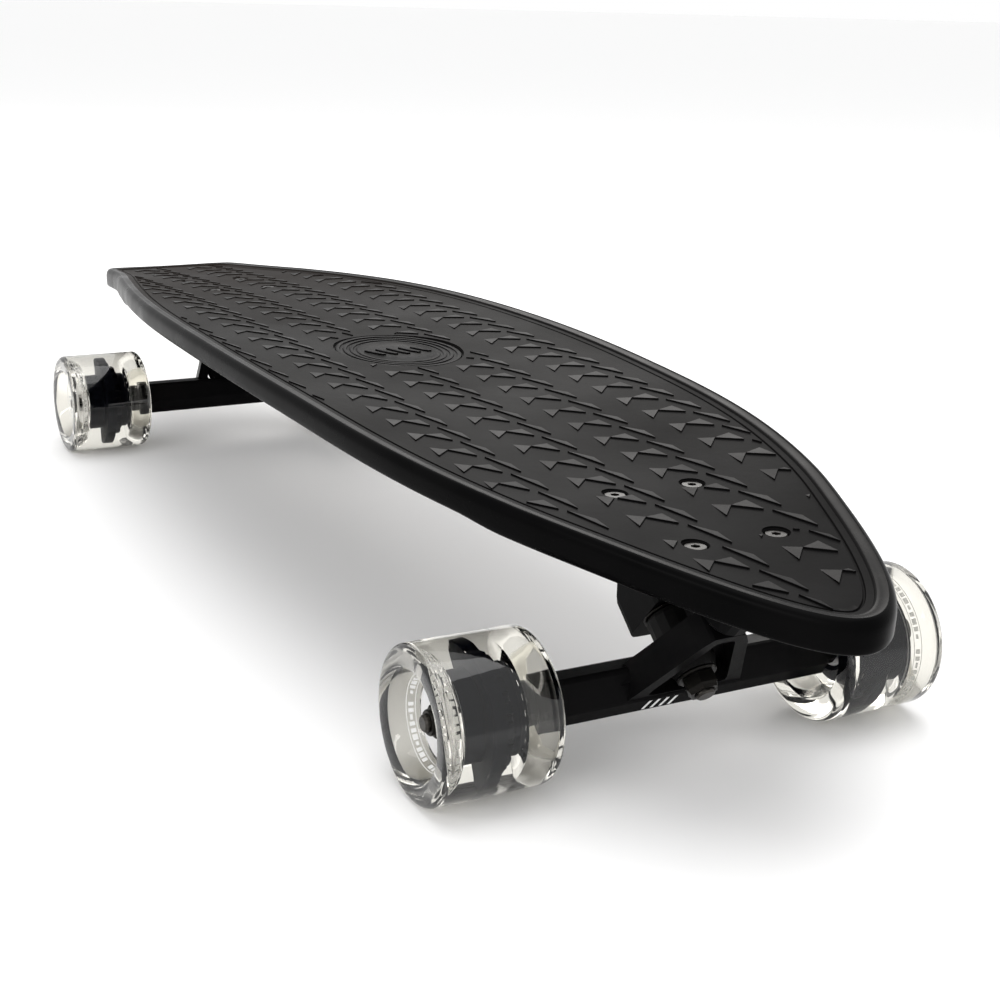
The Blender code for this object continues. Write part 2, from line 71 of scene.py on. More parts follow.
# ------------------------------------------------------------------ materials
class Mat:
    def __init__(self, name):
        self.m = bpy.data.materials.new(name)
        self.m.use_nodes = True
        self.t = self.m.node_tree
        self.b = self.t.nodes["Principled BSDF"]
        self.coord = self.t.nodes.new("ShaderNodeTexCoord").outputs["Object"]

    def node(self, kind, **kw):
        n = self.t.nodes.new(kind)
        for k, v in kw.items():
            setattr(n, k, v)
        return n

    def noise(self, scale, detail=3.0, rough=0.5, stretch=None):
        n = self.node("ShaderNodeTexNoise")
        n.inputs["Scale"].default_value = scale
        n.inputs["Detail"].default_value = detail
        n.inputs["Roughness"].default_value = rough
        if stretch:
            mp = self.node("ShaderNodeMapping")
            mp.inputs["Scale"].default_value = stretch
            self.t.links.new(self.coord, mp.inputs["Vector"])
            self.t.links.new(mp.outputs["Vector"], n.inputs["Vector"])
        else:
            self.t.links.new(self.coord, n.inputs["Vector"])
        return n.outputs["Fac"]

    def ramp(self, fac, stops):
        r = self.node("ShaderNodeValToRGB")
        e = r.color_ramp.elements
        e[0].position, e[0].color = stops[0][0], (*stops[0][1], 1)
        e[1].position, e[1].color = stops[-1][0], (*stops[-1][1], 1)
        for p, c in stops[1:-1]:
            x = e.new(p)
            x.color = (*c, 1)
        self.t.links.new(fac, r.inputs["Fac"])
        return r.outputs["Color"]

    def rough(self, fac, lo, hi, a=0.3, b=0.7):
        m = self.node("ShaderNodeMapRange")
        m.inputs["From Min"].default_value = a
        m.inputs["From Max"].default_value = b
        m.inputs["To Min"].default_value = lo
        m.inputs["To Max"].default_value = hi
        self.t.links.new(fac, m.inputs["Value"])
        self.t.links.new(m.outputs["Result"], self.b.inputs["Roughness"])

    def bump(self, facs, distance):
        last = None
        for fac, d in zip(facs, distance):
            n = self.node("ShaderNodeBump")
            n.inputs["Strength"].default_value = 1.0
            n.inputs["Distance"].default_value = d
            self.t.links.new(fac, n.inputs["Height"])
            if last:
                self.t.links.new(last, n.inputs["Normal"])
            last = n.outputs["Normal"]
        self.t.links.new(last, self.b.inputs["Normal"])

    def set(self, **kw):
        for k, v in kw.items():
            self.b.inputs[k.replace("_", " ")].default_value = v


def deck_material():
    a = Mat("deck_plastic_look")
    big = a.noise(9.0, 4.0)
    # painted sheen: darker at the nose, a lighter warm grey towards the tail where the top reflects the light
    sep = a.node("ShaderNodeSeparateXYZ")
    a.t.links.new(a.coord, sep.inputs[0])
    tail_sheen_range = a.node("ShaderNodeMapRange")
    tail_sheen_range.inputs["From Min"].default_value = 0.40
    tail_sheen_range.inputs["From Max"].default_value = -0.42
    a.t.links.new(sep.outputs["X"], tail_sheen_range.inputs["Value"])
    base = a.ramp(tail_sheen_range.outputs["Result"], [(0.0, (0.0030, 0.0029, 0.0030)), (0.5, (0.0040, 0.0038, 0.0037)), (1.0, (0.0150, 0.0118, 0.0102))])
    tint = a.ramp(big, [(0.35, (0.82, 0.82, 0.84)), (0.65, (1.15, 1.12, 1.1))])
    mix = a.node("ShaderNodeMix", data_type='RGBA', blend_type='MULTIPLY')
    mix.inputs["Factor"].default_value = 1.0
    a.t.links.new(base, mix.inputs[6])
    a.t.links.new(tint, mix.inputs[7])
    a.t.links.new(mix.outputs[2], a.b.inputs["Base Color"])
    a.rough(big, 0.46, 0.58)
    a.bump([a.noise(2600.0, 2.0), a.noise(160.0, 2.0)], [0.00003, 0.00006])
    a.set(Specular_IOR_Level=0.02)
    return a.m


def facet_sheen_material():
    a = Mat("deck_facet_sheen_look")
    # painted sheen: the ramp tops get a slightly lighter plastic colour, standing in for the light the tilted facets
    # catch
    n = a.noise(22.0, 3.0)
    col = a.ramp(n, [(0.3, (0.0036, 0.0034, 0.0034)), (0.7, (0.0054, 0.0050, 0.0049))])
    a.t.links.new(col, a.b.inputs["Base Color"])
    a.rough(n, 0.34, 0.46)
    a.bump([a.noise(2200.0, 2.0), a.noise(160.0, 2.0)], [0.00003, 0.00006])
    a.set(Specular_IOR_Level=0.03)
    return a.m


def rim_material():
    a = Mat("deck_rim_look")
    n = a.noise(30.0, 3.0)
    col = a.ramp(n, [(0.3, (0.0012, 0.0012, 0.0013)), (0.7, (0.0022, 0.0021, 0.0022))])
    a.t.links.new(col, a.b.inputs["Base Color"])
    a.rough(n, 0.24, 0.34)
    a.bump([a.noise(90.0, 2.0)], [0.00005])
    a.set(Specular_IOR_Level=0.02)
    return a.m


def painted(name, dark, light, rlo, rhi, grain=900.0, depth=0.00005, metal=0.0, coat=0.0, spec=0.5):
    a = Mat(name)
    n = a.noise(40.0, 4.0)
    a.t.links.new(a.ramp(n, [(0.3, dark), (0.7, light)]), a.b.inputs["Base Color"])
    a.rough(n, rlo, rhi)
    a.bump([a.noise(grain, 2.0), a.noise(120.0, 3.0)], [depth, depth * 1.5])
    a.set(Metallic=metal, Coat_Weight=coat, Specular_IOR_Level=spec)
    return a.m


def steel(name, c0, c1, rlo, rhi, stretch=(1, 1, 1)):
    a = Mat(name)
    n = a.noise(300.0, 4.0, 0.6, stretch)
    a.t.links.new(a.ramp(n, [(0.3, c0), (0.7, c1)]), a.b.inputs["Base Color"])
    a.rough(n, rlo, rhi)
    a.bump([n], [0.00002])
    a.set(Metallic=1.0)
    return a.m


def urethane():
    a = Mat("clear_urethane_look")
    n = a.noise(60.0, 3.0)
    a.t.links.new(a.ramp(n, [(0.2, (0.815, 0.795, 0.725)), (0.8, (0.875, 0.858, 0.795))]), a.b.inputs["Base Color"])
    a.rough(n, 0.02, 0.06)
    a.bump([a.noise(45.0, 2.0)], [0.00012])
    a.set(Transmission_Weight=1.0, IOR=1.49, Specular_IOR_Level=0.2)
    return a.m


M_DECK = deck_material()
M_RIM = rim_material()
M_FACET_SHEEN = facet_sheen_material()
M_PAINT = painted("truck_paint_look", (0.0025, 0.0025, 0.0028), (0.0050, 0.0048, 0.0050), 0.30, 0.42, 1400.0, 0.00005, spec=0.03)
M_BLACKSTEEL = painted("black_oxide_look", (0.006, 0.0057, 0.0054), (0.016, 0.0148, 0.013), 0.28, 0.42, 1800.0, 0.00003, 0.75, spec=0.1)
M_DARKSTEEL = steel("dark_steel_look", (0.030, 0.028, 0.026), (0.065, 0.061, 0.055), 0.26, 0.4)
M_STEEL = steel("zinc_look", (0.42, 0.42, 0.41), (0.60, 0.60, 0.58), 0.22, 0.34)
M_BEARING = steel("bearing_look", (0.60, 0.60, 0.61), (0.78, 0.78, 0.79), 0.16, 0.26)
M_CORE = painted("core_look", (0.0010, 0.0012, 0.0028), (0.0022, 0.0026, 0.0050), 0.34, 0.46, 1100.0, 0.00003, spec=0.01)
M_BUSH = painted("bushing_look", (0.0035, 0.0035, 0.0035), (0.0075, 0.0072, 0.0070), 0.42, 0.55, 700.0, 0.00006, spec=0.08)
M_CUP = painted("pivot_cup_look", (0.006, 0.006, 0.006), (0.012, 0.012, 0.012), 0.4, 0.55, 700.0, 0.00006, spec=0.1)
M_SHIELD = painted("bearing_shield_look", (0.55, 0.55, 0.56), (0.70, 0.70, 0.71), 0.25, 0.35, 900.0, 0.00003, 0.6)
# painted sheen: light grey standing in for light on the clear urethane over the core
M_FACE_SHEEN = painted("face_ring_sheen_look", (0.62, 0.62, 0.63), (0.76, 0.76, 0.77), 0.30, 0.42, 600.0, 0.00004, 0.15)
M_PRINT = painted("white_print_look", (0.80, 0.80, 0.79), (0.90, 0.90, 0.89), 0.40, 0.5, 700.0, 0.00002)
M_BADGE = painted("badge_look", (0.0008, 0.0008, 0.0009), (0.0016, 0.0015, 0.0016), 0.26, 0.38, 1500.0, 0.00003, spec=0.01)
M_TYRE = urethane()


# ------------------------------------------------------------------ mesh helpers
def obj_from(name, verts, faces, mats, smooth=None, weld=1e-6, face_mats=None):
    me = bpy.data.meshes.new(name)
    me.from_pydata([tuple(c * MM for c in v) for v in verts], [], faces)
    for m in mats:
        me.materials.append(m)
    if face_mats:
        me.polygons.foreach_set("material_index", face_mats)
    me.update()
    bm = bmesh.new()
    bm.from_mesh(me)
    bmesh.ops.remove_doubles(bm, verts=bm.verts, dist=weld)
    bmesh.ops.recalc_face_normals(bm, faces=bm.faces)
    bm.to_mesh(me)
    bm.free()
    if smooth:
        me.shade_smooth()
        me.set_sharp_from_angle(angle=math.radians(smooth))
    ob = bpy.data.objects.new(name, me)
    scene.collection.objects.link(ob)
    return ob


def frame_along(direction):
    d = Vector(direction).normalized()
    ref = Vector((0, 0, 1)) if abs(d.z) < 0.9 else Vector((1, 0, 0))
    e1 = ref.cross(d).normalized()
    return e1, d.cross(e1), d


def hexagon(a):
    return math.cos(math.pi / 6) / math.cos((a % (math.pi / 3)) - math.pi / 6)


def turned(name, profile, origin, direction, mats, seg=96, smooth=35, hexed=None, warp=None):
    e1, e2, d = frame_along(direction)
    o = Vector(origin)
    verts, faces, rows = [], [], []
    for k, (r, h) in enumerate(profile):
        if r <= 1e-9:
            verts.append(o + d * h)
            rows.append([len(verts) - 1] * seg)
            continue
        row = []
        for i in range(seg):
            a = 2 * math.pi * i / seg
            q = r * hexagon(a) if hexed and hexed[0] < r < hexed[1] else r
            hh = h
            if warp:
                q, hh = warp(k, a, q, h)
            verts.append(o + d * hh + e1 * (q * math.cos(a)) + e2 * (q * math.sin(a)))
            row.append(len(verts) - 1)
        rows.append(row)
    n = len(rows)
    open_end = profile[0][0] <= 1e-9 and profile[-1][0] <= 1e-9
    for k in range(n - 1 if open_end else n):
        r0, r1 = rows[k], rows[(k + 1) % n]
        for i in range(seg):
            j = (i + 1) % seg
            f = []
            for v in (r0[i], r0[j], r1[j], r1[i]):
                if v not in f:
                    f.append(v)
            if len(f) >= 3:
                faces.append(f)
    return obj_from(name, verts, faces, mats, smooth)


def join(name, obs):
    """one object from several, kept as separate closed shells."""
    me = bpy.data.meshes.new(name)
    bm = bmesh.new()
    mats = []
    for ob in obs:
        for m in ob.data.materials:
            if m not in mats:
                mats.append(m)
    for ob in obs:
        start = len(bm.faces)
        bm.from_mesh(ob.data)
        bm.faces.ensure_lookup_table()
        for f in bm.faces[start:]:
            f.material_index = mats.index(ob.data.materials[f.material_index])
    bm.to_mesh(me)
    bm.free()
    for m in mats:
        me.materials.append(m)
    out = bpy.data.objects.new(name, me)
    scene.collection.objects.link(out)
    for ob in obs:
        bpy.data.objects.remove(ob, do_unlink=True)
    return out


def apply_boolean(ob, tools, op='DIFFERENCE'):
    for tool in tools:
        m = ob.modifiers.new("b", 'BOOLEAN')
        m.operation = op
        m.solver = 'EXACT'
        m.object = tool
    dg = bpy.context.evaluated_depsgraph_get()
    me = bpy.data.meshes.new_from_object(ob.evaluated_get(dg))
    ob.modifiers.clear()
    ob.data = me
    for tool in tools:
        bpy.data.objects.remove(tool, do_unlink=True)


# ------------------------------------------------------------------ deck shape (as in the CAD, much finer)
def factor(u):
    st = WIDTH_STATIONS
    for i in range(len(st) - 1):
        if u <= st[i + 1][0] or i == len(st) - 2:
            break
    (u0, f0), (u1, f1) = st[i], st[i + 1]
    d = (f1 - f0) / (u1 - u0)
    m0 = d if i == 0 else 0.5 * (d + (f0 - st[i - 1][1]) / (u0 - st[i - 1][0]))
    m1 = d if i == len(st) - 2 else 0.5 * (d + (st[i + 2][1] - f1) / (st[i + 2][0] - u1))
    h = u1 - u0
    t = min(max((u - u0) / h, 0.0), 1.0)
    return ((2 * t ** 3 - 3 * t ** 2 + 1) * f0 + (t ** 3 - 2 * t ** 2 + t) * h * m0
            + (-2 * t ** 3 + 3 * t ** 2) * f1 + (t ** 3 - t ** 2) * h * m1)


def outline(theta):
    u = 0.5 * (1 + math.cos(theta))
    return Vector((TAIL_X + 0.7 + (DECK_LENGTH - 1.4) * u, factor(u) * math.sin(theta), 0))


def half_width(x):
    u = min(max((x - TAIL_X) / DECK_LENGTH, 0.0), 1.0)
    return factor(u) * 2 * math.sqrt(max(u * (1 - u), 0.0))


def arc(x):
    return ARC_TOP_Z - ARC_RATE * (x - ARC_MID_X) ** 2


def lift(x):
    return CONCAVE_LIFT * (half_width(x) / HALF_WIDTH_REF) ** 1.5


def step01(a, b, x):
    t = min(max((x - a) / (b - a), 0.0), 1.0)
    return t * t * (3 - 2 * t)


def rim_depth(x):
    s = max(step01(AXLE_FRONT_X - 42, AXLE_FRONT_X - 14, x), step01(AXLE_REAR_X + 42, AXLE_REAR_X + 14, x))
    return RIM_DEPTH + (RIM_DEPTH_TRUCK - RIM_DEPTH) * s


def medial(p):
    return Vector((min(max(p.x, TAIL_X + 75.0), NOSE_X - 60.0), 0, 0))


OUT_N = 720
THETAS = [2 * math.pi * (i + 0.5) / OUT_N for i in range(OUT_N)]
PTS = [outline(t) for t in THETAS]
NRM = []
for i in range(OUT_N):
    t = (PTS[(i + 1) % OUT_N] - PTS[i - 1]).normalized()
    NRM.append(Vector((-t.y, t.x, 0)))


INNER = [PTS[i] + NRM[i] * 13.0 for i in range(OUT_N)]


def panel_fraction(x, y):
    """0 on the spine of the panel, 1 where the panel meets the border, as the panel is lofted."""
    p = Vector((x, y, 0))
    m = medial(p)
    d = p - m
    if d.length < 1e-6:
        return 0.0
    best = 0.0
    for i in range(OUT_N):
        a, b = INNER[i - 1] - m, INNER[i] - m
        ca, cb = d.x * a.y - d.y * a.x, d.x * b.y - d.y * b.x
        if ca * cb <= 0 and abs(ca - cb) > 1e-12:
            hit = a + (b - a) * (ca / (ca - cb))
            along = hit.dot(d) / d.dot(d)
            if along > 1e-6:
                best = max(best, 1.0 / along)
    return best


def surface_z(x, y):
    """height of the tread panel at (x, y): the camber plus the concave."""
    t = min(panel_fraction(x, y), 1.02)
    return arc(x) + lift(x) * t * t


def build_deck():
    n = 360
    st = OUT_N // n
    P = PTS[::st]
    N = NRM[::st]
    verts, faces, rings, kinds = [], [], [], []

    def ring(kind, value, dz, look):
        row = []
        for i in range(n):
            if kind == "inset":
                p, t = P[i] + N[i] * value, 1.0
            else:
                inner = P[i] + N[i] * 13.0
                m = medial(inner)
                p, t = m + (inner - m) * value, value
            z = arc(p.x) + lift(p.x) * t * t
            z += dz(P[i].x) if callable(dz) else dz
            verts.append((p.x, p.y, z))
            row.append(len(verts) - 1)
        rings.append(row)
        kinds.append(look)

    for t in [0.02] + [0.02 + 0.98 * k / 14 for k in range(1, 14)] + [0.985]:
        ring("span", t, 0.0, 0)
    # thin line that follows the outline, a flat border, then the rolled rim
    for (d, dz) in ((13.6, 0.0), (13.2, -0.7), (12.6, -0.7), (12.2, 0.0), (11.8, 0.15), (9.6, 0.2), (9.2, 0.35), (8.8, 0.9), (8.2, 1.3)):
        ring("inset", d, dz, 0)
    for k in range(1, 8):
        a = math.pi * 0.5 * k / 7
        ring("inset", 8.0 - 4.5 * math.sin(a) + 0.0, 1.4 + 0.8 * (1 - math.cos(a)), 1)
    for k in range(1, 9):
        a = math.pi * 0.5 * k / 8
        ring("inset", 3.5 * (1 - math.sin(a)) + 0.02, -3.2 + 5.4 * math.cos(a), 1)
    ring("inset", 0.0, -5.0, 1)
    ring("inset", 0.1, lambda x: -rim_depth(x) + 4.4, 1)
    for k in range(1, 6):
        a = math.pi * 0.5 * k / 5
        ring("inset", 0.1 + 2.9 * (1 - math.cos(a)), (lambda s: (lambda x: -rim_depth(x) + 3.0 - 3.0 * s))(math.sin(a)), 1)
    ring("inset", 4.8, lambda x: -rim_depth(x) + 0.0, 1)
    ring("inset", 5.6, lambda x: -rim_depth(x) + 0.8, 0)
    ring("inset", 6.4, -PLATE_T - 0.8, 0)
    ring("inset", 7.4, -PLATE_T, 0)
    for t in (0.96, 0.8, 0.6, 0.4, 0.2, 0.02):
        ring("span", t, -PLATE_T, 0)
    looks = []
    for k in range(len(rings) - 1):
        a, b = rings[k], rings[k + 1]
        for i in range(n):
            j = (i + 1) % n
            faces.append([a[i], a[j], b[j], b[i]])
            looks.append(kinds[k + 1])
    for row in (rings[0], rings[-1]):
        for i in range(n // 2 - 1):
            faces.append([row[i], row[i + 1], row[n - 2 - i], row[n - 1 - i]])
            looks.append(0)
    deck = obj_from("deck_shell", verts, faces, [M_DECK, M_RIM], None, 1e-7, looks)

    def ruled(name, rows):
        v = [p for r in rows for p in r]
        m = len(rows[0])
        f = [list(range(m)), list(range(len(v) - m, len(v)))[::-1]]
        for k in range(len(rows) - 1):
            for c in range(m):
                f.append([m * k + c, m * k + (c + 1) % m, m * k + m + (c + 1) % m, m * k + m + c])
        return obj_from(name, v, f, [M_DECK])

    adds = []
    for ax, s in ((AXLE_FRONT_X, 1), (AXLE_REAR_X, -1)):
        cx = ax + s * 10.0
        ring0 = []
        for (sx, sy) in ((1, 1), (-1, 1), (-1, -1), (1, -1)):
            for q in range(7):
                a = math.atan2(sy, sx) - math.pi / 4 + math.pi / 2 * q / 6
                ring0.append((cx + sx * 40 + 8 * math.cos(a), sy * 23 + 8 * math.sin(a)))
        shrink = [(cx + (x - cx) * 0.985, y * 0.975) for x, y in ring0]
        adds.append(ruled("pad", [[(x, y, PAD_BOTTOM_Z) for x, y in shrink], [(x, y, PAD_BOTTOM_Z + 0.8) for x, y in ring0], [(x, y, 109.5) for x, y in ring0]]))
    for side in (-1, 1):
        y0 = side * 46.0
        rows = []
        for k in range(41):
            x = TAIL_X + 150 + (DECK_LENGTH - 270) * k / 40
            q = abs(y0) / max(half_width(x), 50.0)
            zt = arc(x) + lift(x) * q * q - 3.5
            rows.append([(x, y0 - 1.3, zt), (x, y0 + 1.3, zt), (x, y0 + 0.9, zt - 9.9), (x, y0 - 0.9, zt - 9.9)])
        adds.append(ruled("rib", rows))
    for k in range(7):
        x = ARC_MID_X - 186 + 62.0 * k
        w = half_width(x) - 5.0
        rows = []
        for j in range(17):
            y = -w + 2 * w * j / 16
            q = abs(y) / half_width(x)
            zt = arc(x) + lift(x) * q * q - 3.7
            rows.append([(x - 1.2, y, zt), (x + 1.2, y, zt), (x + 0.8, y, zt - 8.5), (x - 0.8, y, zt - 8.5)])
        adds.append(ruled("rib", rows))
    apply_boolean(deck, adds, 'UNION')
    cuts = []
    for s, tag, k, x, y in bolt_places():
        top = arc(x)
        cuts.append(turned("cut", ((0, 80.0), (2.8, 80.0), (2.8, top - 3.6), (5.4, top - 1.6), (5.7, top - 0.4), (6.2, top + 0.1), (6.2, top + 12.0), (0, top + 12.0)),
                           (x, y, 0), (0, 0, 1), [M_DECK], seg=40))
    zc = arc(BADGE_X)
    nn = 96
    v = []
    for z, g in ((zc - 1.1, 0.0), (zc + 0.3, 0.6), (zc + 10.0, 0.6)):
        for i in range(nn):
            a = 2 * math.pi * i / nn
            v.append((BADGE_X + (BADGE_RX + g) * math.cos(a), (BADGE_RY + g) * math.sin(a), z))
    f = [list(range(nn))[::-1], list(range(2 * nn, 3 * nn))]
    for r in (0, nn):
        for i in range(nn):
            j = (i + 1) % nn
            f.append([r + i, r + j, r + nn + j, r + nn + i])
    cuts.append(obj_from("cut", v, f, [M_DECK]))
    apply_boolean(deck, cuts, 'DIFFERENCE')
    deck.data.shade_smooth()
    deck.data.set_sharp_from_angle(angle=math.radians(32))
    return deck


def bolt_places():
    out = []
    for ax, s, tag in ((AXLE_FRONT_X, 1, "front"), (AXLE_REAR_X, -1, "rear")):
        cx = ax + s * BOLT_OUT
        k = 1
        for dx in (BOLT_DX, -BOLT_DX):
            for dy in (-BOLT_DY, BOLT_DY):
                out.append((s, tag, k, cx + s * dx, dy))
                k += 1
    return out


BOLTS = [(x, y) for _, _, _, x, y in bolt_places()]
CELL_X, CELL_Y = 25.5, 44.6
TREAD_H = 0.7


def inside_panel(x, y, margin):
    """True if (x, y) is inside the tread panel by at least margin."""
    if not (TAIL_X + 16 + margin < x < NOSE_X - 16 - margin):
        return False
    w = half_width(x)
    slope = abs(half_width(x + 1) - half_width(x - 1)) / 2
    if (w - abs(y)) / math.sqrt(1 + slope * slope) < 14.2 + margin:
        return False
    for bx, by in BOLTS:
        if (x - bx) ** 2 + (y - by) ** 2 < (7.4 + margin) ** 2:
            return False
    gx, gy = (x - BADGE_X) / (BADGE_RX + 3.5 + margin), y / (BADGE_RY + 3.5 + margin)
    return gx * gx + gy * gy > 1.0


def build_tread():
    """raised ramps with one sharp step each, in rows; each one is its own closed wedge."""
    verts, faces = [], []

    def ramp(a, b, back, h):
        a, b, back = Vector(a), Vector(b), Vector(back)
        # shorten the step from either end until it fits the panel
        m = 24
        ts = [k / m for k in range(m + 1)]
        ok = [inside_panel(*(a + (b - a) * t), 0.0) for t in ts]
        best, run = None, None
        for k in range(m + 2):
            if k <= m and ok[k]:
                run = k if run is None else run
            elif run is not None:
                if best is None or k - 1 - run > best[1] - best[0]:
                    best = (run, k - 1)
                run = None
        if best is None or best[1] - best[0] < 5:
            return
        p, q = a + (b - a) * ts[best[0]], a + (b - a) * ts[best[1]]
        frac = (best[1] - best[0]) / m
        mid0, mid = (a + b) * 0.5, (p + q) * 0.5
        r = mid + (back - mid0) * frac
        if not inside_panel(r.x, r.y, -1.0):
            r = mid + (r - mid) * 0.45
            if not inside_panel(r.x, r.y, -1.0):
                return
        e = (q - p).normalized()
        nrm = Vector((-e.y, e.x))
        if nrm.dot(r - mid) < 0:
            nrm = -nrm
        s = 0.22
        # a small chamfer along the step's upper edge
        top = [(p, 0.0, -0.0), (q, 0.0, 0.0), (q + nrm * s, h, 0), (p + nrm * s, h, 0)]
        base = len(verts)
        up = [(p, -0.9), (q, -0.9), (r, -0.9), (p, h - s), (q, h - s), (r, 0.03), (p + nrm * s, h), (q + nrm * s, h)]
        for pt, hh in up:
            verts.append((pt.x, pt.y, surface_z(pt.x, pt.y) + hh))
        o = base
        ccw = (q - p).cross(r - p) > 0
        fs = [[o, o + 2, o + 1], [o, o + 1, o + 4, o + 3], [o + 3, o + 4, o + 7, o + 6], [o + 6, o + 7, o + 5],
              [o + 1, o + 2, o + 5, o + 7, o + 4], [o + 2, o, o + 3, o + 6, o + 5]]
        for f in fs:
            faces.append(f if ccw else f[::-1])

    cols = range(-20, 21)
    rows = range(-4, 5)
    for i in cols:
        for j in rows:
            vx = ROW_X0 + i * CELL_X
            vy = ROW_Y0 + j * CELL_Y
            ramp((vx, vy), (vx + 9.8, vy + 10.3), (vx - 3.5, vy + 10.5), TREAD_H)
            ramp((vx, vy), (vx + 9.0, vy - 8.7), (vx - 5.6, vy - 7.0), TREAD_H * 0.9)
            ramp((vx + 12.4, vy + 13.0), (vx + 35.6, vy + 19.7), (vx + 22.4, vy + 21.6), TREAD_H)
    me = bpy.data.meshes.new("deck_tread")
    me.from_pydata([tuple(c * MM for c in v) for v in verts], [], faces)
    me.materials.append(M_DECK)
    me.materials.append(M_FACET_SHEEN)
    # the ramp tops take the lighter facet colour, a painted sheen
    me.polygons.foreach_set("material_index", [1 if k % 6 == 3 else 0 for k in range(len(faces))])
    me.update()
    bm = bmesh.new()
    bm.from_mesh(me)
    bmesh.ops.recalc_face_normals(bm, faces=bm.faces)
    bm.to_mesh(me)
    bm.free()
    ob = bpy.data.objects.new("deck_tread", me)
    scene.collection.objects.link(ob)
    return ob


ROW_X0 = 310.5 - 11 * 25.5
ROW_Y0 = 20.1


def build_badge():
    """oval medallion of stepped rings with a plain three-bar wave motif in the middle."""
    z0 = arc(BADGE_X) - 1.05
    n = 128
    steps = [(1.0, -0.1), (0.985, 0.75), (0.955, 0.95), (0.925, 0.75), (0.915, 0.1), (0.875, 0.1), (0.865, 0.62), (0.84, 0.78), (0.815, 0.62), (0.805, 0.05),
             (0.77, 0.05), (0.76, 0.48), (0.735, 0.62), (0.71, 0.48), (0.70, 0.0), (0.665, 0.0), (0.655, 0.35), (0.63, 0.5), (0.605, 0.5), (0.59, 0.28), (0.3, 0.28), (0.0, 0.28)]
    verts, faces, rows = [], [], []

    def row(k, z):
        if k < 1e-6:
            verts.append((BADGE_X, 0, z))
            rows.append([len(verts) - 1] * n)
            return
        r = []
        for i in range(n):
            a = 2 * math.pi * i / n
            verts.append((BADGE_X + (BADGE_RX - 0.35) * k * math.cos(a), (BADGE_RY - 0.35) * k * math.sin(a), z))
            r.append(len(verts) - 1)
        rows.append(r)

    row(0.0, z0 - 0.4)
    row(1.0, z0 - 0.4)
    for k, h in steps:
        row(k, z0 + h)
    for a, b in zip(rows, rows[1:]):
        for i in range(n):
            j = (i + 1) % n
            f = []
            for v in (a[i], a[j], b[j], b[i]):
                if v not in f:
                    f.append(v)
            if len(f) > 2:
                faces.append(f)
    oval = obj_from("badge_oval", verts, faces, [M_BADGE], 30)
    bars = []
    for k in range(5):
        yc = (k - 2) * 7.4
        half = 8.5 - 0.9 * abs(k - 2)
        v, f = [], []
        m = 10
        for i in range(m + 1):
            t = -1 + 2 * i / m
            x = BADGE_X + half * t
            y = yc + 3.0 * t
            w = 2.0 * (1 - 0.45 * abs(t) ** 6)
            for dy, dz in ((-w, -0.2), (w, -0.2), (w, 0.75), (w * 0.72, 1.0), (-w * 0.72, 1.0), (-w, 0.75)):
                v.append((x, y + dy, z0 + dz))
        f.append(list(range(6)))
        f.append([6 * m + c for c in range(6)][::-1])
        for i in range(m):
            for c in range(6):
                f.append([6 * i + c, 6 * i + (c + 1) % 6, 6 * i + 6 + (c + 1) % 6, 6 * i + 6 + c])
        bars.append(obj_from("bar", v, f, [M_BADGE], 30))
    badge = join("badge_medallion", [oval] + bars)
    return badge


deck = build_deck()
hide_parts("deck")
tread = build_tread()
badge = build_badge()
for ob in (deck, tread, badge):
    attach(ob, "deck_assembly")

# ------------------------------------------------------------------ deck bolts
for s, tag, k, x, y in bolt_places():
    top = arc(x) - 0.3
    prof = [(0, 85.4), (2.0, 85.4), (2.4, 86.0), (2.4, top - 3.0), (4.6, top - 1.0), (4.9, top - 0.75), (4.9, top - 0.35), (4.6, top - 0.05),
            (3.9, top), (2.25, top), (2.0, top - 0.25), (2.0, top - 1.7), (0, top - 2.2)]
    b = turned("bolt_%s_%d" % (tag, k), prof, (x, y, 0), (0, 0, 1), [M_BLACKSTEEL], seg=48, smooth=30,
               hexed=None, warp=lambda kk, a, q, h: ((q * hexagon(a) if kk >= 9 else q), h))
    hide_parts("deck_bolt_%s_%d" % (tag, k))
    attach(b, "deck_assembly")


